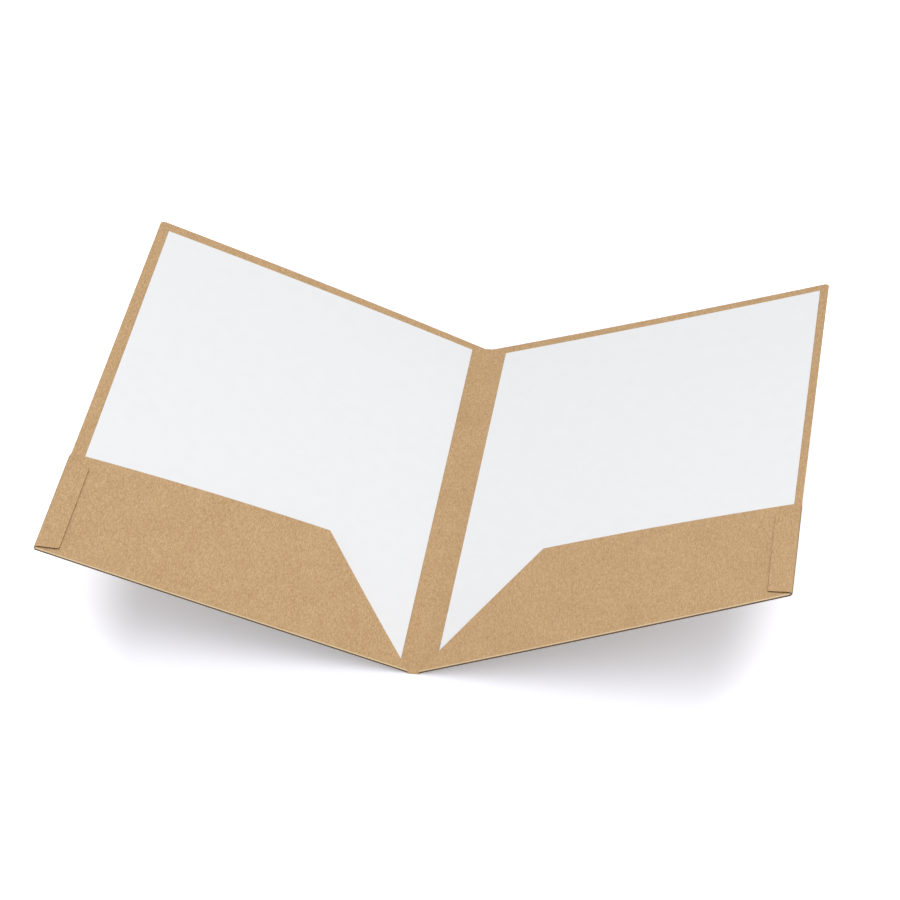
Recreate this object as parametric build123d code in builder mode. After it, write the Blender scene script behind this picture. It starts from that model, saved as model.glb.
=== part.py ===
from build123d import *
import os
from math import cos, radians, sin

# Two pocket folder of kraft board, open as a V on its spine, with a sheet standing in each pocket.
# Frame: +Z is up, X runs across the covers and Y along the spine, from the pocket end to the top.
# The origin is the middle of the spine's underside. Lengths are in millimetres, angles in degrees.

# Sheets of paper, and how each lies in the room that the cover leaves around it
sheet_width = 210.0
sheet_length = 297.0
sheet_thickness = 0.2
sheet_clearance = 0.1
sheet_side_shares = {"left": 0.49, "right": 0.72}
sheet_foot_shares = {"left": 0.45, "right": 0.45}
sheet_skews = {"left": 0.34, "right": -0.17}

# Covers and spine
board = 0.5
side_room = 15.0
head_room = 13.0
cover_corner_radius = 3.0
spine_width = 5.0
crease_clearance = 0.05
open_angle = 20.0

# Pockets, measured up from the lower edge and out from the crease
pocket_gap = 0.8
pocket_outer_height = 82.3
pocket_corner_height = 90.3
pocket_edge_rise = 2.0
pocket_corner_out = 66.0
pocket_foot_out = 1.5

# Glue tabs that turn over the outer edge onto the pocket fronts
tab_width = 13.0
tab_foot_gap = 0.3
tab_head_gap = 2.3
tab_lower_mitre = 4.6
tab_upper_mitre = 6.2
tab_corner_radius = 1.5
glue_thickness = 0.1
glue_inset = 2.5

# Sizes that follow: the covers from the sheets, and the round bends from the boards that they join
cover_width = sheet_width + side_room
cover_height = sheet_length + head_room
crease_radius = board / 2
cover_start = crease_radius + crease_clearance
fold_inner_radius = pocket_gap / 2
fold_outer_radius = fold_inner_radius + board
tab_inner_radius = (pocket_gap + board + glue_thickness) / 2
tab_outer_radius = tab_inner_radius + board
tab_foot = fold_outer_radius + tab_foot_gap
tab_head = pocket_outer_height - tab_head_gap
tab_inner_edge = cover_width - tab_width

# Levels above the middle of the cover board
cover_level = board / 2
sheet_level = cover_level + sheet_clearance
fold_axis_level = cover_level + fold_inner_radius
tab_axis_level = cover_level + tab_inner_radius
pocket_level = cover_level + pocket_gap
glue_level = pocket_level + board
tab_level = glue_level + glue_thickness


def cover_plane(hand, level):
    """A plane along one cover: local x is hand times the way out from the crease, local y is the way
    up from the lower edge, and the level is counted from the middle of the cover board."""
    rise = radians(open_angle)
    along_cover = (cos(rise), 0, hand * sin(rise))
    off_cover = (-hand * sin(rise), 0, cos(rise))
    crease_foot = (hand * spine_width / 2, -cover_height / 2, board / 2)
    return Plane(origin=crease_foot, x_dir=along_cover, z_dir=off_cover).offset(level)


def save(piece, name):
    """Label a finished piece and write its file."""
    piece.part.label = name
    export_step(piece.part, f"parts/{name}.step")


os.makedirs("parts", exist_ok=True)

# Spine: a narrow strip of board between the two creases
with BuildPart() as spine_panel:
    with BuildSketch(Plane.XY):
        Rectangle(spine_width - 2 * cover_start, cover_height)
    extrude(amount=board)
save(spine_panel, "spine_panel")

for side, hand in (("left", -1), ("right", 1)):
    # Spine crease: the rounded line of board that the cover turns on
    crease_head = Plane(origin=(hand * spine_width / 2, cover_height / 2, board / 2), z_dir=(0, -1, 0))
    with BuildPart() as spine_crease:
        with BuildSketch(crease_head):
            Circle(crease_radius)
        extrude(amount=cover_height)
    save(spine_crease, f"{side}_spine_crease")

    # Cover: a flat panel from the crease to the outer edge, with its upper outer corner rounded
    with BuildPart() as cover:
        with BuildSketch(cover_plane(hand, -cover_level)) as cover_outline:
            with BuildLine():
                Polyline(
                    (hand * cover_start, fold_outer_radius),
                    (hand * cover_start, cover_height),
                    (hand * cover_width, cover_height),
                    (hand * cover_width, fold_outer_radius),
                    close=True,
                )
            make_face()
            upper_outer_corner = cover_outline.vertices().sort_by_distance((0, 0))[-1]
            fillet(upper_outer_corner, radius=cover_corner_radius)
        extrude(amount=board)
    save(cover, f"{side}_cover")

    # Bottom fold: the board turns back over itself along the lower edge
    fold_line = cover_plane(hand, fold_axis_level)
    fold_start = fold_line.from_local_coords((hand * pocket_foot_out, fold_outer_radius))
    with BuildPart() as bottom_fold:
        with BuildSketch(Plane(origin=fold_start, x_dir=fold_line.y_dir, z_dir=fold_line.x_dir)):
            with BuildLine():
                outer_bend = CenterArc((0, 0), fold_outer_radius, 90, 180)
                inner_bend = CenterArc((0, 0), fold_inner_radius, 90, 180)
                Line(outer_bend @ 0, inner_bend @ 0)
                Line(outer_bend @ 1, inner_bend @ 1)
            make_face()
        extrude(amount=hand * (cover_width - pocket_foot_out))
    save(bottom_fold, f"{side}_bottom_fold")

    # Pocket: the panel that the bottom fold turns up, cut on a slant beside the spine, with a slow
    # curve along its upper edge
    pocket_corner = (hand * pocket_corner_out, pocket_corner_height)
    pocket_head = (hand * cover_width, pocket_outer_height)
    crest_out = (pocket_corner_out + cover_width) / 2
    crest_height = (pocket_corner_height + pocket_outer_height) / 2 + pocket_edge_rise
    with BuildPart() as pocket:
        with BuildSketch(cover_plane(hand, pocket_level)):
            with BuildLine():
                Polyline(
                    pocket_head,
                    (hand * cover_width, fold_outer_radius),
                    (hand * pocket_foot_out, fold_outer_radius),
                    pocket_corner,
                )
                ThreePointArc(pocket_corner, (hand * crest_out, crest_height), pocket_head)
            make_face()
        extrude(amount=board)
    save(pocket, f"{side}_pocket")

    # Tab fold: the board turns over the pocket's outer edge
    tab_line = cover_plane(hand, tab_axis_level)
    tab_start = tab_line.from_local_coords((hand * cover_width, tab_foot))
    with BuildPart() as tab_fold:
        with BuildSketch(Plane(origin=tab_start, x_dir=tab_line.z_dir, z_dir=tab_line.y_dir)):
            with BuildLine():
                outer_bend = CenterArc((0, 0), tab_outer_radius, 0, hand * 180)
                inner_bend = CenterArc((0, 0), tab_inner_radius, 0, hand * 180)
                Line(outer_bend @ 0, inner_bend @ 0)
                Line(outer_bend @ 1, inner_bend @ 1)
            make_face()
        extrude(amount=tab_head - tab_foot)
    save(tab_fold, f"{side}_tab_fold")

    # Glue tab: the mitred flap that lies on the pocket front, with its two free corners rounded
    with BuildPart() as glue_tab:
        with BuildSketch(cover_plane(hand, tab_level)) as tab_outline:
            with BuildLine():
                Polyline(
                    (hand * cover_width, tab_foot),
                    (hand * cover_width, tab_head),
                    (hand * tab_inner_edge, tab_head - tab_upper_mitre),
                    (hand * tab_inner_edge, tab_foot + tab_lower_mitre),
                    close=True,
                )
            make_face()
            free_corners = tab_outline.vertices().sort_by(Axis.X, reverse=hand < 0)[:2]
            fillet(free_corners, radius=tab_corner_radius)
        extrude(amount=board)
    save(glue_tab, f"{side}_glue_tab")

    # Glue line: the thin strip of glue under the tab
    glue_foot = tab_foot + tab_lower_mitre + glue_inset
    glue_head = tab_head - tab_upper_mitre - glue_inset
    with BuildPart() as glue_line:
        with BuildSketch(cover_plane(hand, glue_level)):
            with Locations((hand * (tab_inner_edge + tab_width / 2), (glue_foot + glue_head) / 2)):
                Rectangle(tab_width - 2 * glue_inset, glue_head - glue_foot)
        extrude(amount=glue_thickness)
    save(glue_line, f"{side}_glue_line")

    # Sheet: it stands in the pocket, a little askew
    sheet_out = side_room * sheet_side_shares[side] + sheet_width / 2
    sheet_up = head_room * sheet_foot_shares[side] + sheet_length / 2
    with BuildPart() as sheet:
        with BuildSketch(cover_plane(hand, sheet_level)):
            with Locations((hand * sheet_out, sheet_up)):
                Rectangle(sheet_width, sheet_length, rotation=-hand * sheet_skews[side])
        extrude(amount=sheet_thickness)
    save(sheet, f"{side}_sheet")
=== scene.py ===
# %% [markdown]
# # A kraft board folder with two pockets
# The folder is one sheet of board, cut flat, creased and folded, with a sheet of paper standing in each
# pocket. The solid model of it is already packed, so this lesson starts by loading that model as a
# fixed frame. Every new piece is made in the same place and in metres, and every one but the two
# crease bends then rides on the frame's bodies, so that the covers still fold and the sheets still
# slide.

# %% Load the imported folder
from math import cos, pi, radians, sin, tan

import bmesh
import bpy
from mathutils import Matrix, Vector
from mathutils.geometry import intersect_point_line


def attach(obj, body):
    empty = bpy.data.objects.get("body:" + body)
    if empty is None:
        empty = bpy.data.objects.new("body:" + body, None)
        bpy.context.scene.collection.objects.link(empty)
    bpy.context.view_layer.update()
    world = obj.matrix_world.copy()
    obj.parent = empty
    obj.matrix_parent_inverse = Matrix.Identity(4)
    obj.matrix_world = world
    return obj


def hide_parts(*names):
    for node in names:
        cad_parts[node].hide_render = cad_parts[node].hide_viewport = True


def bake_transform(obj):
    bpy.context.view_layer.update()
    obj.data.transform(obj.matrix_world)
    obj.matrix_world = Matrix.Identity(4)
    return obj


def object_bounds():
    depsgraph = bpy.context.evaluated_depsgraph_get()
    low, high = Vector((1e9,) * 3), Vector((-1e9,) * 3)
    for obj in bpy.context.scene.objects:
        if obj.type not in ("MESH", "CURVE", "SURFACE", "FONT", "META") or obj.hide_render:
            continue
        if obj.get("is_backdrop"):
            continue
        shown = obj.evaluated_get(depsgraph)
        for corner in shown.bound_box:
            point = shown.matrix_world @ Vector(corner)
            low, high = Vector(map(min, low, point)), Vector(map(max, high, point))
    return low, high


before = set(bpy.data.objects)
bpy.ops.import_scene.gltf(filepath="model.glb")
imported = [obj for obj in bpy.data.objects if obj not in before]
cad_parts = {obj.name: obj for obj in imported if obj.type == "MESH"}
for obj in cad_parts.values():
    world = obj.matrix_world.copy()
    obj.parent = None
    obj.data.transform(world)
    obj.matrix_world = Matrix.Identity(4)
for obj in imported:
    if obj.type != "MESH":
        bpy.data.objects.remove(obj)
solid_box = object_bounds()

# %% [markdown]
# ## The sizes of the folder
# These are the same sizes as in the solid model, in millimetres. The board is half a millimetre thick.
# Each cover rises 20 degrees from the spine, and each pocket is folded up from the lower edge and
# held by a tab that turns in over the outer edge. One number turns millimetres into Blender's metres.

# %% Sizes in millimetres
MM = 0.001
BOARD = 0.5
HALF_SPINE = 2.5
COVER_WIDTH, COVER_HEIGHT = 225.0, 310.0
RISE = radians(20.0)
SIDES = (("left", -1), ("right", 1))
print(f"cover {COVER_WIDTH:g} by {COVER_HEIGHT:g} mm, raised {RISE / radians(1):.0f} degrees")

# %% [markdown]
# ## How a cover lies
# A real cover is never quite flat: damp air and handling leave a slow twist and a slight bow in it, so
# that one corner stands a little higher than the other. A twist could be made with a Simple Deform
# modifier, but the sheet, the pocket and the tab have to follow the very same twist or they would cut
# through each other. So one function says where any point of a cover is: how far out from the crease,
# how far up from the lower edge and how far above the middle of the board. The two twists are
# opposite, so that the covers still close flat against each other.

# %% A point on a cover
# Degrees of tilt, then millimetres of bow, each at the lower and at the upper edge
TILT = {-1: (-1.73, 2.02), 1: (1.66, -1.45)}
BOW = {-1: (-0.36, 1.12), 1: (-0.51, -0.86)}
# Millimetres that the die cut each half too wide, taken up in its outermost strip
EXTRA, EXTRA_STRIP = {-1: 0.12, 1: 0.6}, 4.0


def between(pair, share):
    """The value that lies this share of the way from the first number to the second."""
    return pair[0] + (pair[1] - pair[0]) * share


def cover_point(hand, out, up, level):
    """A place on the left (-1) or right (1) cover, in metres, from distances in millimetres."""
    rise_share, out_share = up / COVER_HEIGHT, max(out, 0) / COVER_WIDTH
    out += EXTRA[hand] * min(1, max(0, out - COVER_WIDTH + EXTRA_STRIP) / EXTRA_STRIP)
    level += max(out, 0) * tan(radians(between(TILT[hand], rise_share)))
    level += 4 * out_share * (1 - out_share) * between(BOW[hand], rise_share)
    across = HALF_SPINE + out * cos(RISE) - level * sin(RISE)
    height = BOARD / 2 + out * sin(RISE) + level * cos(RISE)
    return Vector((hand * across, up - COVER_HEIGHT / 2, height)) * MM


corner = cover_point(-1, COVER_WIDTH, COVER_HEIGHT, 0)
print("left cover's upper corner, in mm:", [round(x / MM, 1) for x in corner])

# %% [markdown]
# ## The bends of the blank
# The maker cuts the whole folder from one flat blank and then folds it, and the same order works here:
# each panel is drawn flat, on the blank, and folded afterwards. There are three kinds of bend, a soft
# one beside the spine, a full turn at the lower edge for the pocket and another at the outer edge for
# the tab. Their radii are those of the middle of the board, because that line keeps its length in a
# bend, so they also say how much of the blank each bend takes up.

# %% Sizes of the bends
CREASE_REACH = 1.5
CREASE_RADIUS = CREASE_REACH / tan(RISE / 2)
SPINE_FLAT = HALF_SPINE - CREASE_REACH
CREASE_END = HALF_SPINE + CREASE_REACH
OUTER_EDGE = HALF_SPINE + COVER_WIDTH

FOLD_UP, FOLD_RADIUS = 0.9, 0.65
FOLD_LENGTH = pi * FOLD_RADIUS
TAB_RADIUS = 0.95
TAB_FOLD_LENGTH = pi * TAB_RADIUS
print(f"the pocket takes {FOLD_LENGTH:.2f} mm of board for its fold, the tab {TAB_FOLD_LENGTH:.2f} mm")

# %% [markdown]
# ## Folding the blank
# A second function folds any point of the blank into place. Panels that are drawn edge to edge on the
# blank meet exactly when folded, and the grain of the board runs on round each bend, as it does on the
# real thing. Board springs a little where nothing holds it: the pocket's free corner stands off, most
# on the left, and so do the tab's free edge beyond the glue and its foot. The fold of the tab was
# pressed, so it stands out less than a round bend would, except at the foot of the right one. Such
# small departures could be pulled by hand, but here they reach every piece that they touch.

# %% Fold a point of the blank
POCKET_OUTER, POCKET_CORNER, POCKET_CORNER_OUT = 82.3, 90.3, 66.0
TAB_WIDTH, TAB_FOOT, GLUE_INSET = 13.0, 1.0, 2.5
LOWER_MITRE = {-1: 3.8, 1: 5.3}
# Millimetres that the tab's fold stands out, at its foot and at the height of the pocket's edge
TAB_BULGE = {-1: (0.5, 0.45), 1: (1.1, 0.35)}
# Millimetres that the pocket's corner, the tab's free edge and its foot spring up
POCKET_LIFT = {-1: 1.6, 1: 0.1}
EDGE_LIFT = {-1: 0.3, 1: 0.2}
FOOT_LIFT, FOOT_EASE = {-1: 0.45, 1: 0.3}, 2.0


def folded(hand, across, along, depth):
    """Fold one point of the flat blank, in mm: across from the middle of the spine, along from the
    lower edge, and depth above the middle of the board."""
    if across < CREASE_END:
        turn = RISE * max(across - SPINE_FLAT, 0) / (2 * CREASE_REACH)
        bent = min(across, SPINE_FLAT) + CREASE_RADIUS * sin(turn) - depth * sin(turn)
        height = BOARD / 2 + CREASE_RADIUS * (1 - cos(turn)) + depth * cos(turn)
        return Vector((hand * bent, along - COVER_HEIGHT / 2, height)) * MM
    out, up, level = across - HALF_SPINE, along, depth
    past_fold, past_edge = FOLD_UP - along, across - OUTER_EDGE
    if past_fold > FOLD_LENGTH:
        up = FOLD_UP + past_fold - FOLD_LENGTH
        slack = (COVER_WIDTH - out) / (COVER_WIDTH - POCKET_CORNER_OUT)
        level = 2 * FOLD_RADIUS - depth + POCKET_LIFT[hand] * (slack * up / POCKET_CORNER) ** 2
    elif past_fold > 0:
        turn, radius = past_fold / FOLD_RADIUS, FOLD_RADIUS - depth
        up, level = FOLD_UP - radius * sin(turn), FOLD_RADIUS - radius * cos(turn)
    elif past_edge > TAB_FOLD_LENGTH:
        past_turn = past_edge - TAB_FOLD_LENGTH
        out = COVER_WIDTH - past_turn
        past_glue = min(1, max(0, past_turn - TAB_WIDTH + GLUE_INSET) / GLUE_INSET)
        below_glue = max(0, 1 - (up - TAB_FOOT) / (LOWER_MITRE[hand] + GLUE_INSET))
        lift = EDGE_LIFT[hand] * past_glue**2
        lift += FOOT_LIFT[hand] * below_glue**2 * min(1, past_turn / FOOT_EASE)
        level = 2 * TAB_RADIUS - depth + lift
    elif past_edge > 0:
        turn = past_edge / TAB_RADIUS
        bulge = between(TAB_BULGE[hand], up / POCKET_OUTER)
        out = COVER_WIDTH + (bulge - depth) * sin(turn)
        level = TAB_RADIUS - (TAB_RADIUS - depth) * cos(turn)
    return cover_point(hand, out, up, level)


print(f"the pockets' free corners stand off by {POCKET_LIFT[-1]:g} and {POCKET_LIFT[1]:g} mm")

# %% [markdown]
# ## From hex colours to Blender's
# Colours are easiest to read as the hex values of a paint chart, but shaders work in linear light.
# One function turns the one into the other. A second adds a node with its settings and links, so that
# each material below reads from top to bottom like a recipe.

# %% Colour and node helpers


def hex_colour(text):
    """An sRGB hex value such as #C8A57B as linear red, green, blue and alpha."""
    parts = [int(text[i : i + 2], 16) / 255 for i in (1, 3, 5)]
    return [c / 12.92 if c <= 0.04045 else ((c + 0.055) / 1.055) ** 2.4 for c in parts] + [1.0]


def add_node(tree, kind, inputs=None, **settings):
    """Add a node, give it its settings, and link or set each of its named inputs."""
    made = tree.nodes.new(kind)
    for name, value in settings.items():
        setattr(made, name, value)
    for name, value in (inputs or {}).items():
        if isinstance(value, bpy.types.NodeSocket):
            tree.links.new(value, made.inputs[name])
        else:
            made.inputs[name].default_value = value
    return made


def new_material(name):
    """An empty node material, with its tree and its output node."""
    material = bpy.data.materials.new(name)
    material.use_nodes = True
    material.node_tree.nodes.clear()
    return material, material.node_tree, add_node(material.node_tree, "ShaderNodeOutputMaterial")


print("kraft brown in linear light:", [round(c, 3) for c in hex_colour("#C8A57B")[:3]])

# %% [markdown]
# ## Kraft board: its felt
# Kraft board is pressed from unbleached wood fibres. Up close it is a felt of short fibres that lie
# every way, some paler and some darker than the rest. An even brown would look like plastic, so noise
# at real sizes makes the felt: clumps of 0.65 mm and fibres of 0.4 by 2 mm in two directions. Real
# fibres are finer, about 0.05 by 3 mm, and are drawn this coarse so that they show.

# %% Felt of fibres
CLUMP = 0.65 * MM
FIBRE_WIDTH, FIBRE_LENGTH = 0.4 * MM, 2.0 * MM
# Degrees that the two lots of fibres are turned, and the share of each in the felt
FIBRE_TURNS, FIBRE_SHARE = (35, -50), 0.4


def felt_of_fibres(tree, place):
    """The felt's lightness around 0.5, from clumps and from fibres that lie two ways."""
    clumps = add_node(tree, "ShaderNodeTexNoise", {"Vector": place, "Scale": 1 / CLUMP, "Detail": 4.0})
    felt = clumps.outputs["Fac"]
    for turn in FIBRE_TURNS:
        drawn_out = {
            "Vector": place,
            "Rotation": (0, 0, radians(turn)),
            "Scale": (1 / FIBRE_WIDTH, 1 / FIBRE_LENGTH, 1 / FIBRE_WIDTH),
        }
        along_fibre = add_node(tree, "ShaderNodeMapping", drawn_out).outputs["Vector"]
        noise = {"Vector": along_fibre, "Scale": 1.0, "Detail": 2.0}
        fibres = add_node(tree, "ShaderNodeTexNoise", noise)
        mixed = {"Factor": FIBRE_SHARE, "A": felt, "B": fibres.outputs["Fac"]}
        felt = add_node(tree, "ShaderNodeMix", mixed).outputs["Result"]
    return felt


print(f"clumps of {CLUMP / MM:g} mm, fibres of {FIBRE_WIDTH / MM:g} by {FIBRE_LENGTH / MM:g} mm")

# %% [markdown]
# ## Kraft board: from felt to board
# Over the felt lie slow clouds where the pulp lay thicker, and a few dark flecks. The board is matt,
# with a slight tooth. A sharp fold gets painted light: painted shade on the side that turns under, and
# on the lower fold a painted highlight along its crest. The recipe therefore takes three browns, and
# for a fold also the painted browns round its turn. The pattern reads each point's place on the flat
# blank, which is stored on the pieces, so it follows the board round its folds. With Object
# coordinates the fibres would run straight through a bend.

# %% Kraft board recipe
BLANK, TURN = "blank", "turn"
CLOUD, CLOUD_SHARE = 28 * MM, 0.07
DARK_FROM, PALE_FROM = 0.36, 0.64
FLECK, FLECK_BROWN, FLECK_STRENGTH = 1.6 * MM, "#8C6A45", 0.35
FLECK_FROM, FLECK_FULL = 0.70, 0.78
# Share of the painted shade and highlight in a fold's colour
PAINTED_FOLD_SHARE = 0.8
BOARD_TOOTH = 0.06 * MM


def set_ramp(ramp, stops):
    """Give a colour ramp its stops, each a position and a hex colour."""
    while len(ramp.elements) < len(stops):
        ramp.elements.new(1.0)
    for stop, (position, colour) in zip(ramp.elements, stops):
        stop.position, stop.color = position, hex_colour(colour)


def kraft_board(name, pale, middle, dark, painted_fold_tones=()):
    """Kraft board from its three browns. A fold also gets painted shade and highlight browns, which it
    has from the start of its turn to the end."""
    material, tree, output = new_material(name)
    place = add_node(tree, "ShaderNodeAttribute", attribute_name=BLANK).outputs["Vector"]
    felt = felt_of_fibres(tree, place)
    clouds = add_node(tree, "ShaderNodeTexNoise", {"Vector": place, "Scale": 1 / CLOUD, "Detail": 2.0})
    clouded = {"Factor": CLOUD_SHARE, "A": felt, "B": clouds.outputs["Fac"]}
    tone = add_node(tree, "ShaderNodeMix", clouded)
    browns = add_node(tree, "ShaderNodeValToRGB", {"Fac": tone.outputs["Result"]})
    set_ramp(browns.color_ramp, ((DARK_FROM, dark), (0.5, middle), (PALE_FROM, pale)))
    specks = add_node(tree, "ShaderNodeTexNoise", {"Vector": place, "Scale": 1 / FLECK, "Detail": 1.0})
    few = add_node(
        tree,
        "ShaderNodeMapRange",
        {
            "Value": specks.outputs["Fac"],
            "From Min": FLECK_FROM,
            "From Max": FLECK_FULL,
            "To Max": FLECK_STRENGTH,
        },
    )
    flecked = add_node(
        tree,
        "ShaderNodeMix",
        {"Factor": few.outputs["Result"], "A": browns.outputs["Color"], "B": hex_colour(FLECK_BROWN)},
        data_type="RGBA",
    )
    colour = flecked.outputs["Result"]
    if painted_fold_tones:
        turn = add_node(tree, "ShaderNodeAttribute", attribute_name=TURN).outputs["Fac"]
        fold_light_tones = add_node(tree, "ShaderNodeValToRGB", {"Fac": turn})
        set_ramp(fold_light_tones.color_ramp, painted_fold_tones)
        mixed = {"Factor": PAINTED_FOLD_SHARE, "A": colour, "B": fold_light_tones.outputs["Color"]}
        colour = add_node(tree, "ShaderNodeMix", mixed, data_type="RGBA").outputs["Result"]
    roughness = add_node(
        tree,
        "ShaderNodeMapRange",
        {"Value": felt, "From Min": 0.3, "From Max": 0.7, "To Min": 0.95, "To Max": 0.82},
    )
    tooth = add_node(tree, "ShaderNodeBump", {"Height": felt, "Strength": 0.35, "Distance": BOARD_TOOTH})
    board = add_node(
        tree,
        "ShaderNodeBsdfPrincipled",
        {
            "Base Color": colour,
            "Roughness": roughness.outputs["Result"],
            "Normal": tooth.outputs["Normal"],
            "Specular IOR Level": 0.3,
        },
    )
    tree.links.new(board.outputs["BSDF"], output.inputs["Surface"])
    return material


print(f"clouds of {CLOUD / MM:g} mm and flecks of {FLECK / MM:g} mm over the felt")

# %% [markdown]
# ## Kraft board: its finishes
# One board shows five finishes. Its face is plain brown, and where the knife went through, the opened
# fibres are paler. The edges of each tab are painted very dark, as painted shade for the narrow gap
# under the tab. The lower fold has painted shade on the side that turns under and a painted highlight
# along its top, and the fold of the tab has a band of painted shade round its outer side. Painting a
# mask for each could do the same, but as finishes of their own they only need faces to be assigned to.

# %% Kraft board finishes
PALE, MIDDLE, DARK = "#D9B88E", "#C5A277", "#AC875B"
# Painted shade under the lower fold, a painted highlight along its crest, and painted shade round the
# outer side of the tab's fold
PAINTED_SHADE_UNDER, PAINTED_CREST_HIGHLIGHT, EDGE = "#4F3A20", "#F3DCB5", "#7F6746"

kraft = kraft_board("uncoated_kraft_board", PALE, MIDDLE, DARK)
cut_edge = kraft_board("kraft_board_cut_edge", "#DCC09B", "#CFB08A", "#BF9C74")
# Very dark tab edges: painted shade for the narrow gap under each tab
tab_edge_shade = kraft_board("kraft_board_tab_edge_shade", "#4D381D", "#3A2812", "#2A1B0A")
# The lower fold: painted shade where it turns under and a painted highlight along its crest
lower_fold_painted_light = kraft_board(
    "kraft_board_lower_fold",
    PALE,
    MIDDLE,
    DARK,
    ((0.0, MIDDLE), (0.1, PAINTED_SHADE_UNDER), (0.65, PAINTED_SHADE_UNDER), (0.72, PAINTED_CREST_HIGHLIGHT), (0.86, PAINTED_CREST_HIGHLIGHT), (1.0, MIDDLE)),
)
# The tab's fold: a band of painted shade round its outer side
edge_fold_painted_shade = kraft_board(
    "kraft_board_edge_fold",
    PALE,
    MIDDLE,
    DARK,
    ((0.0, MIDDLE), (0.2, EDGE), (0.56, EDGE), (0.68, MIDDLE)),
)
for finish in (kraft, cut_edge, tab_edge_shade, lower_fold_painted_light, edge_fold_painted_shade):
    print("made", finish.name)

# %% [markdown]
# ## Paper
# The sheets are plain copier paper: bright, a touch cool, and matt, with a fine tooth from the felt of
# the paper machine. Most of what the eye sees is light and shadow, so the pattern stays very faint.
# The tooth of real paper is under 0.1 mm, drawn here at 0.8 mm so that it can be seen at all.

# %% Paper material
TOOTH, TOOTH_DEPTH, FORMATION = 0.8 * MM, 0.03 * MM, 9 * MM


def white_paper(name, colour, shade):
    """Matt white paper, with the faint clouds that show when it is held to the light."""
    material, tree, output = new_material(name)
    place = add_node(tree, "ShaderNodeAttribute", attribute_name=BLANK).outputs["Vector"]
    grain = add_node(tree, "ShaderNodeTexNoise", {"Vector": place, "Scale": 1 / TOOTH, "Detail": 3.0})
    cloudy = {"Vector": place, "Scale": 1 / FORMATION, "Detail": 3.0}
    clouds = add_node(tree, "ShaderNodeTexNoise", cloudy)
    white = add_node(
        tree,
        "ShaderNodeMix",
        {"Factor": clouds.outputs["Fac"], "A": hex_colour(colour), "B": hex_colour(shade)},
        data_type="RGBA",
    )
    toothed = {"Height": grain.outputs["Fac"], "Strength": 0.15, "Distance": TOOTH_DEPTH}
    tooth = add_node(tree, "ShaderNodeBump", toothed)
    paper = add_node(
        tree,
        "ShaderNodeBsdfPrincipled",
        {
            "Base Color": white.outputs["Result"],
            "Roughness": 0.85,
            "Normal": tooth.outputs["Normal"],
            "Specular IOR Level": 0.3,
        },
    )
    tree.links.new(paper.outputs["BSDF"], output.inputs["Surface"])
    return material


paper = white_paper("copier_paper", "#F3F4F5", "#EFF0F1")
print("made", paper.name)

# %% [markdown]
# ## Dried glue
# The tab is held to the pocket by a line of white glue that dries to a dull, yellowish film. It shows
# only at the very edge of the tab, but it is there, so it gets a finish: slightly shiny, with the
# streaks that a roller leaves every 2 mm. The streaks are noise that is drawn out along the tab.

# %% Glue material
STREAK, STREAK_STRETCH = 2.0 * MM, 0.1


def dried_glue(name):
    """A dull film of glue with roller streaks along the tab."""
    material, tree, output = new_material(name)
    place = add_node(tree, "ShaderNodeAttribute", attribute_name=BLANK).outputs["Vector"]
    drawn_out = {"Vector": place, "Scale": (1 / STREAK, STREAK_STRETCH / STREAK, 1 / STREAK)}
    along_tab = add_node(tree, "ShaderNodeMapping", drawn_out).outputs["Vector"]
    streaks = add_node(tree, "ShaderNodeTexNoise", {"Vector": along_tab, "Scale": 1.0, "Detail": 2.0})
    film = add_node(
        tree,
        "ShaderNodeMix",
        {"Factor": streaks.outputs["Fac"], "A": hex_colour("#D9CDAF"), "B": hex_colour("#C6B48D")},
        data_type="RGBA",
    )
    surface = add_node(
        tree, "ShaderNodeBsdfPrincipled", {"Base Color": film.outputs["Result"], "Roughness": 0.45}
    )
    tree.links.new(surface.outputs["BSDF"], output.inputs["Surface"])
    return material


glue = dried_glue("dried_glue")
print("made", glue.name)

# %% [markdown]
# ## A panel, from outline to board
# Every panel starts as one flat face inside its outline. Extruding it gives the board its thickness,
# a bevel rounds the corners that the die leaves round, and a very small bevel softens the cut edges,
# which a knife never leaves razor sharp. Edges where the panel runs on into a fold stay square, so
# that the two meet without a groove. A Bevel modifier with weights could do the same, but the operator
# works on the flat panel, before it is folded, so every edge is easy to find.

# %% Cut a panel
EDGE_BEVEL, CORNER_SEGMENTS = 0.12, 5
RIM_ANGLE = radians(60)
# Millimetres within which points touch and heights are level, and the slack at a line's ends
TOUCH, LEVEL, LINE_SLACK = 1e-3, 1e-6, 1e-4


def on_a_line(point, lines):
    """True if a flat point lies on one of these lines, each given by its two ends."""
    for start, end in lines:
        near, share = intersect_point_line(point, Vector((*start, point.z)), Vector((*end, point.z)))
        if (point - near).length < TOUCH and -LINE_SLACK < share < 1 + LINE_SLACK:
            return True
    return False


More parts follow.
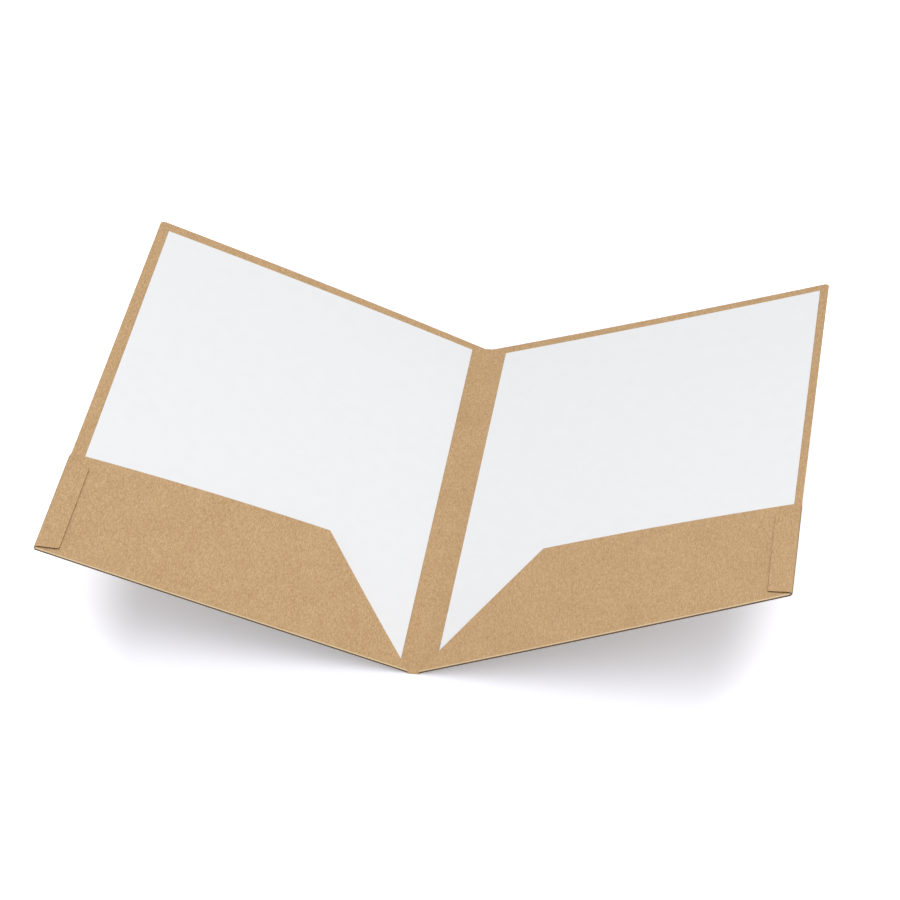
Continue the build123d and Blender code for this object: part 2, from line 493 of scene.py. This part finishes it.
def cut_panel(outline, thickness, joined=(), round_corners=(), corner_radius=0.0):
    """A flat panel in mm, centred on depth 0, with its free edges softened."""
    bm = bmesh.new()
    bm.faces.new([bm.verts.new((x, y, -thickness / 2)) for x, y in outline])
    top = bmesh.ops.extrude_face_region(bm, geom=bm.faces[:])
    bmesh.ops.translate(
        bm, verts=[v for v in top["geom"] if isinstance(v, bmesh.types.BMVert)], vec=(0, 0, thickness)
    )
    bmesh.ops.recalc_face_normals(bm, faces=bm.faces[:])
    if round_corners:
        posts = [
            e
            for e in bm.edges
            if abs(e.verts[0].co.z - e.verts[1].co.z) > thickness / 2
            and any((e.verts[0].co.xy - Vector(c)).length < TOUCH for c in round_corners)
        ]
        bmesh.ops.bevel(
            bm,
            geom=posts,
            offset=corner_radius,
            affect="EDGES",
            segments=CORNER_SEGMENTS,
            profile=0.5,
            material=-1,
        )
    rim = [
        e
        for e in bm.edges
        if abs(e.verts[0].co.z - e.verts[1].co.z) < LEVEL
        and e.calc_face_angle(0) > RIM_ANGLE
        and not all(on_a_line(v.co, joined) for v in e.verts)
    ]
    bmesh.ops.bevel(
        bm,
        geom=rim,
        offset=min(EDGE_BEVEL, thickness / 4),
        affect="EDGES",
        segments=2,
        profile=0.5,
        material=-1,
        clamp_overlap=True,
    )
    return bm


print(f"free edges are softened by {EDGE_BEVEL:g} mm")

# %% [markdown]
# ## A panel, from board to piece
# Only a mesh with points all over it can take the bend and the twist, so the panel is sliced into a
# grid by planes. Subdividing would make an uneven grid in a slanted outline. Then each point stores
# its place on the blank, and on a fold how much of the turn lies behind it, and is moved to where it
# belongs on the folded thing. Faces that don't lie along the board get the panel's second finish.

# %% Slice and place a panel
GRID, ON_PLANE = 12.5, 1e-5
ALONG_BOARD = 0.95
SHARP_ANGLE = radians(20)


def slice_panel(bm, step_across=GRID, step_along=GRID):
    """Slice a flat panel by planes that stand a step apart, counted from the blank's own middle."""
    for axis, step in ((0, step_across), (1, step_along)):
        places = [v.co[axis] for v in bm.verts]
        first, last = int(min(places) // step) + 1, int(max(places) // step)
        for count in range(first, last + 1):
            co, normal = [0.0, 0.0, 0.0], [0.0, 0.0, 0.0]
            co[axis], normal[axis] = count * step, 1.0
            everything = bm.verts[:] + bm.edges[:] + bm.faces[:]
            bmesh.ops.bisect_plane(
                bm, geom=everything, dist=ON_PLANE, plane_co=co, plane_no=normal
            )


def finish_panel(bm, name, hand, place, materials):
    """Store each point's place on the blank and its share of a turn, move it to its real place, and
    make the object."""
    blank = bm.verts.layers.float_vector.new(BLANK)
    turn = bm.verts.layers.float.new(TURN)
    for face in bm.faces:
        face.smooth = True
        if len(materials) > 1 and abs(face.normal.z) < ALONG_BOARD:
            face.material_index = 1
    for vert in bm.verts:
        flat = vert.co.copy()
        vert[blank] = Vector((hand * flat.x, flat.y, flat.z)) * MM
        vert[turn] = max((FOLD_UP - flat.y) / FOLD_LENGTH, (flat.x - OUTER_EDGE) / TAB_FOLD_LENGTH)
        vert.co = place(hand, *flat)
    bmesh.ops.recalc_face_normals(bm, faces=bm.faces[:])
    mesh = bpy.data.meshes.new(name)
    bm.to_mesh(mesh)
    bm.free()
    mesh.set_sharp_from_angle(angle=SHARP_ANGLE)
    for material in materials:
        mesh.materials.append(material)
    piece = bpy.data.objects.new(name, mesh)
    bpy.context.scene.collection.objects.link(piece)
    return piece


BOARD_FINISH = (kraft, cut_edge)
print(f"panels get a grid of {GRID:g} mm")

# %% [markdown]
# ## The spine
# The spine is the narrow back between the two creases, and the folder stands on it. Only its middle
# is flat: on both sides it runs into a crease.

# %% Spine strip
spine = cut_panel(
    [(-SPINE_FLAT, 0), (SPINE_FLAT, 0), (SPINE_FLAT, COVER_HEIGHT), (-SPINE_FLAT, COVER_HEIGHT)],
    BOARD,
    joined=[((x, 0), (x, COVER_HEIGHT)) for x in (-SPINE_FLAT, SPINE_FLAT)],
)
slice_panel(spine)


def on_spine(hand, across, along, depth):
    """A point of the spine, which lies flat on the table."""
    return Vector((across, along - COVER_HEIGHT / 2, BOARD / 2 + depth)) * MM


spine_strip = finish_panel(spine, "spine_strip", 1, on_spine, BOARD_FINISH)
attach(spine_strip, "spine")
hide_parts("spine_panel")
print("spine strip:", len(spine_strip.data.polygons), "faces")

# %% [markdown]
# ## The creases
# The board bends softly along each crease. Each crease strip is folded at rest by the same function
# as the covers and rides on no body, so it doesn't open and close with its cover.

# %% Crease bends
CREASE_SLICES = 10
CREASE_STEP = 2 * CREASE_REACH / CREASE_SLICES
# The printed span ends just inside the crease, because from there on a point counts as the cover's
BLEND_FROM, BLEND_TO = SPINE_FLAT + 0.4, CREASE_END - 1e-6

for side, hand in SIDES:
    crease = cut_panel(
        [(SPINE_FLAT, 0), (CREASE_END, 0), (CREASE_END, COVER_HEIGHT), (SPINE_FLAT, COVER_HEIGHT)],
        BOARD,
        joined=[((x, 0), (x, COVER_HEIGHT)) for x in (SPINE_FLAT, CREASE_END)],
    )
    slice_panel(crease, step_across=CREASE_STEP)
    bend = finish_panel(crease, f"{side}_crease_bend", hand, folded, BOARD_FINISH)
    start = folded(hand, BLEND_FROM, COVER_HEIGHT / 2, 0)
    end = folded(hand, BLEND_TO, COVER_HEIGHT / 2, 0)
    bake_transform(bend)
    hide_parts(f"{side}_spine_crease")
    from_x, to_x = round(start.x / MM, 2), round(end.x / MM, 2)
    print(f"{bend.name} bends between {from_x} and {to_x} mm from the middle of the spine")

# %% [markdown]
# ## The covers
# Each cover is one large panel from its crease to its outer edge. Its upper outer corner is rounded
# by the die. Below, it runs on into the fold of the pocket, and at the lower part of its outer edge
# into the fold of the tab, so those edges stay square and the rest are softened.

# %% Cover panels
CORNER_RADIUS = 3.0
TAB_HEAD, TAB_NECK = 78.5, 86.0
POCKET_FOOT_OUT = 1.5
POCKET_FOOT = HALF_SPINE + POCKET_FOOT_OUT

for side, hand in SIDES:
    cover = cut_panel(
        [
            (CREASE_END, FOLD_UP),
            (CREASE_END, COVER_HEIGHT),
            (OUTER_EDGE, COVER_HEIGHT),
            (OUTER_EDGE, TAB_NECK),
            (OUTER_EDGE, TAB_FOOT),
            (OUTER_EDGE, FOLD_UP),
        ],
        BOARD,
        joined=[
            ((CREASE_END, FOLD_UP), (CREASE_END, COVER_HEIGHT)),
            ((POCKET_FOOT, FOLD_UP), (OUTER_EDGE, FOLD_UP)),
            ((OUTER_EDGE, TAB_FOOT), (OUTER_EDGE, TAB_NECK)),
        ],
        round_corners=[(OUTER_EDGE, COVER_HEIGHT)],
        corner_radius=CORNER_RADIUS,
    )
    slice_panel(cover)
    panel = finish_panel(cover, f"{side}_cover_panel", hand, folded, BOARD_FINISH)
    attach(panel, f"{side}_cover")
    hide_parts(f"{side}_cover")
    print(panel.name, len(panel.data.polygons), "faces")

# %% [markdown]
# ## The lower fold and the pocket
# The board turns back over itself along the lower edge and comes up as the pocket. The fold could be
# spun round its axis, but a narrow strip that is sliced finely and then folded by the same function
# as everything else is sure to meet the cover and the pocket. The pocket is cut on a slant beside the
# spine and on a slow curve along its upper edge.

# %% Lower folds and pockets
POCKET_START = FOLD_UP - FOLD_LENGTH
EDGE_RISE, EDGE_STEPS = 2.0, 16
FOLD_SLICES, POCKET_GRID = 12, GRID / 2


def pocket_along(up):
    """How far along the blank a point of the pocket is, from how far up it stands once folded."""
    return POCKET_START - (up - FOLD_UP)


upper_edge = []
for step in range(EDGE_STEPS + 1):
    share = step / EDGE_STEPS
    out = between((COVER_WIDTH, POCKET_CORNER_OUT), share)
    up = between((POCKET_OUTER, POCKET_CORNER), share) + 4 * EDGE_RISE * share * (1 - share)
    upper_edge.append((HALF_SPINE + out, pocket_along(up)))

for side, hand in SIDES:
    fold = cut_panel(
        [
            (POCKET_FOOT, POCKET_START),
            (OUTER_EDGE, POCKET_START),
            (OUTER_EDGE, FOLD_UP),
            (POCKET_FOOT, FOLD_UP),
        ],
        BOARD,
        joined=[((POCKET_FOOT, y), (OUTER_EDGE, y)) for y in (POCKET_START, FOLD_UP)],
    )
    slice_panel(fold, step_along=FOLD_LENGTH / FOLD_SLICES)
    # The lower bend carries the fold's painted shade and highlight
    lower_bend = finish_panel(fold, f"{side}_lower_bend", hand, folded, (lower_fold_painted_light, cut_edge))
    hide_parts(f"{side}_bottom_fold")

    pocket = cut_panel(
        [(POCKET_FOOT, POCKET_START), (OUTER_EDGE, POCKET_START), *upper_edge],
        BOARD,
        joined=[((POCKET_FOOT, POCKET_START), (OUTER_EDGE, POCKET_START))],
    )
    slice_panel(pocket, POCKET_GRID, POCKET_GRID)
    front = finish_panel(pocket, f"{side}_pocket_front", hand, folded, BOARD_FINISH)
    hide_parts(f"{side}_pocket")

    for piece in (lower_bend, front):
        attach(piece, f"{side}_cover")
        print(piece.name, len(piece.data.polygons), "faces")

# %% [markdown]
# ## The neck of the tab
# At its upper end the tab runs into the cover's edge with a hollow curve, so that the board doesn't
# tear there. The curve lies in the fold of the tab. It could be a spline, but a few points by a simple
# rule are enough, because it is only 3 by 7 mm.

# %% Neck of the tab
TAB_START = OUTER_EDGE + TAB_FOLD_LENGTH
NECK_STEPS, NECK_HOLLOW = 8, 1.6

neck = []
for step in range(NECK_STEPS + 1):
    share = step / NECK_STEPS
    neck_across = TAB_START - TAB_FOLD_LENGTH * (1 - (1 - share) ** NECK_HOLLOW)
    neck_along = TAB_HEAD + (TAB_NECK - TAB_HEAD) * share**2
    neck.append((neck_across, neck_along))
print(f"the neck runs from {TAB_HEAD:g} to {TAB_NECK:g} mm up the edge in {NECK_STEPS} steps")

# %% [markdown]
# ## The tab and its glue
# A narrow tab turns in over the outer edge and lies on the front of the pocket. Its ends are cut at a
# slant so that it folds without catching, and its free corners are rounded. The two tabs aren't cut
# quite alike: the right one is squarer at its head and grows a little wider towards it. Under each tab
# lies the line of glue, which is not part of the blank, so it goes straight onto the cover's own
# levels.

# %% Tabs and glue lines
TAB_END = TAB_START + TAB_WIDTH
TAB_SLICES = 10
UPPER_MITRE, TAB_CORNER = {-1: 4.7, 1: 1.5}, {-1: 1.5, 1: 1.0}
# Millimetres that the die cut the tab's free edge too wide, at its lower and at its upper corner
TAB_SPLAY = {-1: (0.0, 0.0), 1: (-0.2, 0.9)}
GLUE_THICKNESS, GLUE_LEVEL, GLUE_CORNER = 0.1, 1.6, 1.5


def glue_place(hand, across, along, depth):
    """A point of the glue film, which lies between the pocket and the tab."""
    return cover_point(hand, across, along, GLUE_LEVEL + depth)


for side, hand in SIDES:
    edge_fold = cut_panel(
        [(OUTER_EDGE, TAB_FOOT), (TAB_START, TAB_FOOT), *neck],
        BOARD,
        joined=[
            ((OUTER_EDGE, TAB_FOOT), (OUTER_EDGE, TAB_NECK)),
            ((TAB_START, TAB_FOOT), (TAB_START, TAB_HEAD)),
            *zip(neck, neck[1:]),
        ],
    )
    slice_panel(edge_fold, step_across=TAB_FOLD_LENGTH / FOLD_SLICES)
    # The tab's bend carries its band of painted shade
    tab_bend = finish_panel(edge_fold, f"{side}_tab_bend", hand, folded, (edge_fold_painted_shade, cut_edge))
    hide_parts(f"{side}_tab_fold")

    lower_splay, upper_splay = TAB_SPLAY[hand]
    lower_corner = (TAB_END + lower_splay, TAB_FOOT + LOWER_MITRE[hand])
    upper_corner = (TAB_END + upper_splay, TAB_HEAD - UPPER_MITRE[hand])
    tab = cut_panel(
        [(TAB_START, TAB_FOOT), lower_corner, upper_corner, (TAB_START, TAB_HEAD)],
        BOARD,
        joined=[((TAB_START, TAB_FOOT), (TAB_START, TAB_HEAD))],
        round_corners=[upper_corner, lower_corner],
        corner_radius=TAB_CORNER[hand],
    )
    slice_panel(tab, TAB_WIDTH / TAB_SLICES, GRID / TAB_SLICES)
    # The tab's cut edges take the very dark finish, painted shade for the gap under the tab
    tab_flap = finish_panel(tab, f"{side}_tab_flap", hand, folded, (kraft, tab_edge_shade))
    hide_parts(f"{side}_glue_tab")

    for piece in (tab_bend, tab_flap):
        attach(piece, f"{side}_cover")

    inner, outer = COVER_WIDTH - TAB_WIDTH + GLUE_INSET, COVER_WIDTH - GLUE_INSET
    foot, head = lower_corner[1] + GLUE_INSET, upper_corner[1] - GLUE_INSET
    glue_corners = [(inner, foot), (outer, foot), (outer, head), (inner, head)]
    film = cut_panel(glue_corners, GLUE_THICKNESS, round_corners=glue_corners, corner_radius=GLUE_CORNER)
    slice_panel(film)
    glue_film = finish_panel(film, f"{side}_glue_film", hand, glue_place, (glue,))
    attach(glue_film, f"{side}_cover")
    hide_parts(f"{side}_glue_line")
    tab_faces, glue_faces = len(tab_flap.data.polygons), len(glue_film.data.polygons)
    print(side, "tab:", tab_faces, "faces, glue:", glue_faces, "faces")

# %% [markdown]
# ## The sheets of paper
# A sheet of A4 stands in each pocket, a fifth of a millimetre off its cover. Both have slipped a little
# askew, the left one more. A sheet takes the same twist as its cover, so it lies close to the board all
# over, and rides on a body of its own, because it can be drawn up out of the pocket.

# %% Paper sheets
SHEET_WIDTH, SHEET_LENGTH, SHEET_THICKNESS, SHEET_GAP = 210.0, 297.0, 0.2, 0.2
SHEET_LEVEL = BOARD / 2 + SHEET_GAP + SHEET_THICKNESS / 2
SIDE_ROOM, HEAD_ROOM = COVER_WIDTH - SHEET_WIDTH, COVER_HEIGHT - SHEET_LENGTH
# Shares of the room that are left beside the spine and at the foot, and the turn
SHEET_LIES = {"left": (0.49, 0.45, radians(0.34)), "right": (0.72, 0.45, radians(-0.17))}


def sheet_lies(side_share, foot_share, skew):
    """A function that turns a point of a flat sheet by its skew and lays it on the cover."""
    middle_out = SIDE_ROOM * side_share + SHEET_WIDTH / 2
    middle_up = HEAD_ROOM * foot_share + SHEET_LENGTH / 2

    def sheet_place(hand, across, along, depth):
        out = middle_out + across * cos(skew) + along * sin(skew)
        up = middle_up - across * sin(skew) + along * cos(skew)
        return cover_point(hand, out, up, SHEET_LEVEL + depth)

    return sheet_place


half_width, half_length = SHEET_WIDTH / 2, SHEET_LENGTH / 2
for side, hand in SIDES:
    page = cut_panel(
        [
            (-half_width, -half_length),
            (half_width, -half_length),
            (half_width, half_length),
            (-half_width, half_length),
        ],
        SHEET_THICKNESS,
    )
    slice_panel(page)
    sheet = finish_panel(page, f"{side}_paper_sheet", hand, sheet_lies(*SHEET_LIES[side]), (paper,))
    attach(sheet, f"{side}_sheet")
    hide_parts(f"{side}_sheet")
    print(sheet.name, len(sheet.data.polygons), "faces")

# %% [markdown]
# ## Floor
# The folder stands on a plain white floor. One flat sheet does, large enough that its edge never comes
# into a picture.

# %% Studio floor
FLOOR_HALF, FLOOR_SQUARES = 6.0, 8

floor_bm = bmesh.new()
bmesh.ops.create_grid(
    floor_bm, x_segments=FLOOR_SQUARES, y_segments=FLOOR_SQUARES, size=FLOOR_HALF
)
floor_mesh = bpy.data.meshes.new("floor")
floor_bm.to_mesh(floor_mesh)
floor_bm.free()
floor = bpy.data.objects.new("floor", floor_mesh)
bpy.context.scene.collection.objects.link(floor)
floor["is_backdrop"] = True
print("floor", 2 * FLOOR_HALF, "m wide")

# %% [markdown]
# ## The floor's finish
# The floor takes shadows like any matt surface. Only for the camera and for reflections a little light
# of its own is added, so that the bare floor is white while the shadow under the covers stays soft and
# grey. In a long oval, which starts under the covers and ends at their outer edges, that light rises,
# so the floor is plain white beside the folder and far away. None of it falls on the folder. To the
# light that bounces about, the floor is a mid grey, so that the undersides keep some depth.

# %% Floor finish
FLOOR_WHITE, FLOOR_BOUNCE, GLOW_WHITE = "#F5F6FF", "#A0A1A4", "#FDFDFF"
FLOOR_GLOW, CLEAR_GLOW = 0.326, 0.63
# Metres from the middle where the light starts to rise and where it is full, and the oval's shape
CLEAR_FROM, CLEAR_TO = 0.17, 0.217
CLEAR_STRETCH = (1.0, 0.35, 1.0)


def seen_rays(tree):
    """1 for what the camera sees, straight on or in a reflection, and 0 for light that bounces about."""
    rays = add_node(tree, "ShaderNodeLightPath").outputs
    seen = rays["Is Camera Ray"]
    for other in ("Is Glossy Ray", "Is Transmission Ray"):
        both = {0: seen, 1: rays[other]}
        seen = add_node(tree, "ShaderNodeMath", both, operation="MAXIMUM").outputs[0]
    return seen


floor_white, tree, output = new_material("studio_floor")
matt = add_node(tree, "ShaderNodeBsdfDiffuse", {"Color": hex_colour(FLOOR_WHITE)})
bounce = add_node(tree, "ShaderNodeBsdfDiffuse", {"Color": hex_colour(FLOOR_BOUNCE)})
place = add_node(tree, "ShaderNodeTexCoord").outputs["Object"]
oval = add_node(tree, "ShaderNodeVectorMath", {0: place, 1: CLEAR_STRETCH}, operation="MULTIPLY")
away = add_node(tree, "ShaderNodeVectorMath", {0: oval.outputs[0]}, operation="LENGTH")
rising = {
    "Value": away.outputs["Value"],
    "From Min": CLEAR_FROM,
    "From Max": CLEAR_TO,
    "To Min": FLOOR_GLOW,
    "To Max": CLEAR_GLOW,
}
rise = add_node(tree, "ShaderNodeMapRange", rising, interpolation_type="SMOOTHSTEP")
own_light = {"Color": hex_colour(GLOW_WHITE), "Strength": rise.outputs["Result"]}
glow = add_node(tree, "ShaderNodeEmission", own_light)
lit = add_node(tree, "ShaderNodeAddShader", {0: matt.outputs[0], 1: glow.outputs[0]})
either = {0: seen_rays(tree), 1: bounce.outputs[0], 2: lit.outputs[0]}
surface = add_node(tree, "ShaderNodeMixShader", either)
tree.links.new(surface.outputs[0], output.inputs["Surface"])
floor_mesh.materials.append(floor_white)
print("made", floor_white.name)

# %% [markdown]
# ## The tent
# The picture has even, soft light, as in a white tent. The world is the tent: it glows all round, and
# a little more towards the right, which fills the left cover. A lamp on each side could do it too, but
# would leave edges to the shadows. What the camera sees of the tent is plain white.

# %% World
TENT_WHITE, BACKDROP_WHITE = "#FDFDFF", "#FFFFFF"
TENT_GLOW, RIGHT_GLOW, RIGHT_FOCUS = 0.52, 0.2, 2.0
RIGHT = Vector((0.966, 0, 0.259))

world = bpy.data.worlds.new("tent")
bpy.context.scene.world = world
world.use_nodes = True
tree = world.node_tree
tree.nodes.clear()
output = add_node(tree, "ShaderNodeOutputWorld")
way = add_node(tree, "ShaderNodeTexCoord").outputs["Generated"]
facing = add_node(tree, "ShaderNodeVectorMath", {0: way, 1: RIGHT}, operation="DOT_PRODUCT")
no_less = {0: facing.outputs["Value"], 1: 0.0}
in_front = add_node(tree, "ShaderNodeMath", no_less, operation="MAXIMUM").outputs[0]
spread = add_node(tree, "ShaderNodeMath", {0: in_front, 1: RIGHT_FOCUS}, operation="POWER").outputs[0]
glow_there = {0: spread, 1: RIGHT_GLOW, 2: TENT_GLOW}
strength = add_node(tree, "ShaderNodeMath", glow_there, operation="MULTIPLY_ADD").outputs[0]
sky = add_node(tree, "ShaderNodeBackground", {"Color": hex_colour(TENT_WHITE), "Strength": strength})
backdrop = add_node(tree, "ShaderNodeBackground", {"Color": hex_colour(BACKDROP_WHITE), "Strength": 1.0})
either = {0: seen_rays(tree), 1: sky.outputs[0], 2: backdrop.outputs[0]}
shown = add_node(tree, "ShaderNodeMixShader", either)
tree.links.new(shown.outputs[0], output.inputs["Surface"])
print(f"the tent glows at {TENT_GLOW:g}, and up to {TENT_GLOW + RIGHT_GLOW:g} towards the right")

# %% [markdown]
# ## Lamps
# Two soft lamps shape the rest. A wide one hangs above the front, so the shadow stays close under the
# covers and the far end of the spine is a little dimmer. A smaller one stands behind, high on the left,
# and draws the fine shadows beside the tabs.

# %% Lamps
# Each lamp's name, place, size in metres and power in watts
LAMPS = (
    ("wide_softbox", Vector((0.16, -0.38, 1.03)), 1.1, 5.5),
    ("back_softbox", Vector((-0.6, 1.28, 1.69)), 0.8, 7.5),
)
LAMP_TARGET = Vector((0, 0, 0.02))

for name, place, size, power in LAMPS:
    lamp_data = bpy.data.lights.new(name, "AREA")
    lamp_data.shape, lamp_data.size, lamp_data.energy = "SQUARE", size, power
    lamp = bpy.data.objects.new(name, lamp_data)
    lamp.location = place
    lamp.rotation_euler = (LAMP_TARGET - place).to_track_quat("-Z", "Y").to_euler()
    bpy.context.scene.collection.objects.link(lamp)
    print(name, "at", tuple(round(x, 2) for x in place))

# %% [markdown]
# ## Camera
# The camera looks down at about 39 degrees from the front, a little from the right, through a long
# lens. Its place was worked out from where the corners of the covers and the sheets lie in the picture.

# %% Camera
SENSOR_WIDTH, LENS = 36.0, 123.97
CAMERA_PLACE = (0.243494, -1.434006, 1.219646)
CAMERA_TURN = (radians(50.967), radians(1.277), radians(8.649))

camera_data = bpy.data.cameras.new("camera")
camera_data.sensor_width, camera_data.lens = SENSOR_WIDTH, LENS
camera = bpy.data.objects.new("camera", camera_data)
camera.location = CAMERA_PLACE
camera.rotation_euler = CAMERA_TURN
bpy.context.scene.collection.objects.link(camera)
bpy.context.scene.camera = camera
bpy.context.scene.view_settings.view_transform = "Standard"
print("lens", LENS, "mm")

# %% [markdown]
# ## The size of the dressed folder
# The dressed folder has to be as large as the solid one, so both boxes are printed.

# %% Sizes
boxes = {"solid": solid_box, "dressed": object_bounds()}
for name, (low, high) in boxes.items():
    print(name, "box in mm:", [round(x / MM, 1) for x in high - low])
